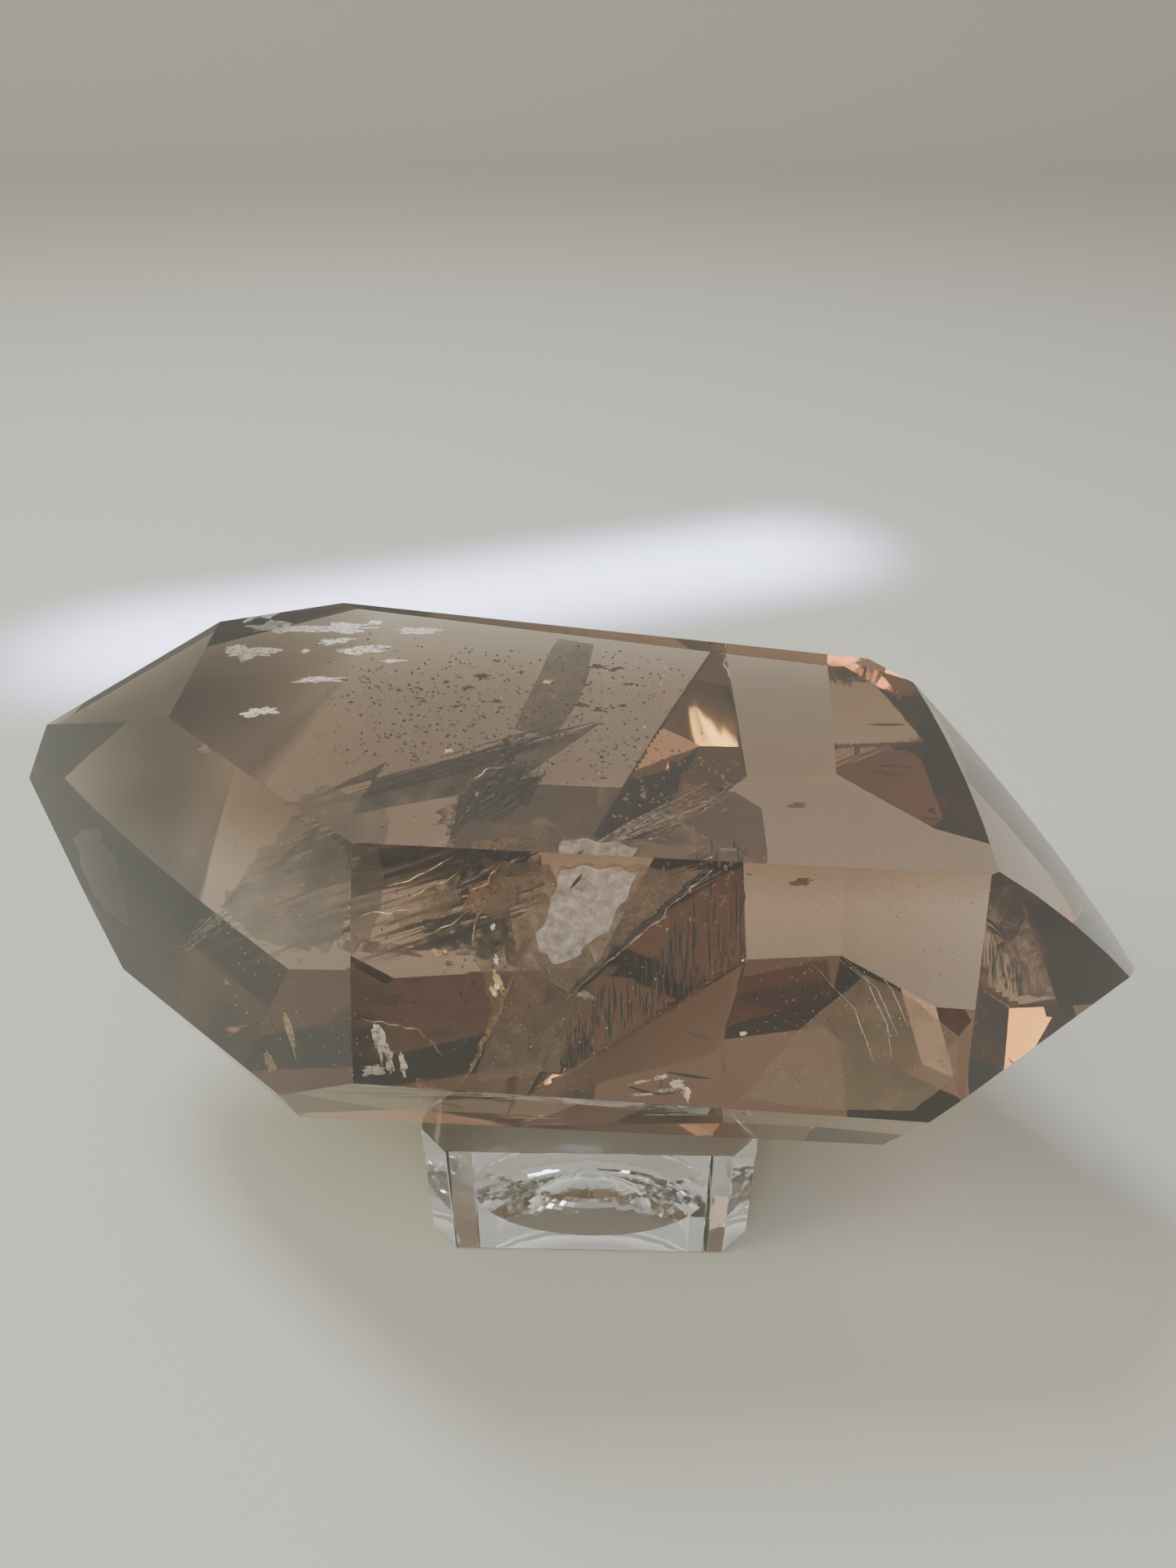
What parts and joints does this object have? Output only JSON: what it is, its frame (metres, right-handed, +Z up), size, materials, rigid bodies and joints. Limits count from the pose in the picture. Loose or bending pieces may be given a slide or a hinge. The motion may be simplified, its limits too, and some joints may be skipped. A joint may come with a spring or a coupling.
{
  "type": "double terminated citrine crystal on a stand",
  "caption": "Polished smoky citrine crystal with a six-sided body and a point at both ends, lying on a small clear square stand.",
  "frame": {"origin": "centre of the stand's square foot, on the surface it stands on", "axes": "+X along the crystal towards its right, lower tip; -Y is the side the broad front face and the picture's camera are on; +Z up"},
  "size_m": [0.1056, 0.0486, 0.0481],
  "materials": {
    "citrine": "hand polished, transparent, smoky golden brown",
    "clear_glass": "polished, colourless"
  },
  "bodies": {
    "root": {"crystal": "citrine", "stand": "clear_glass"}
  },
  "joints": []
}
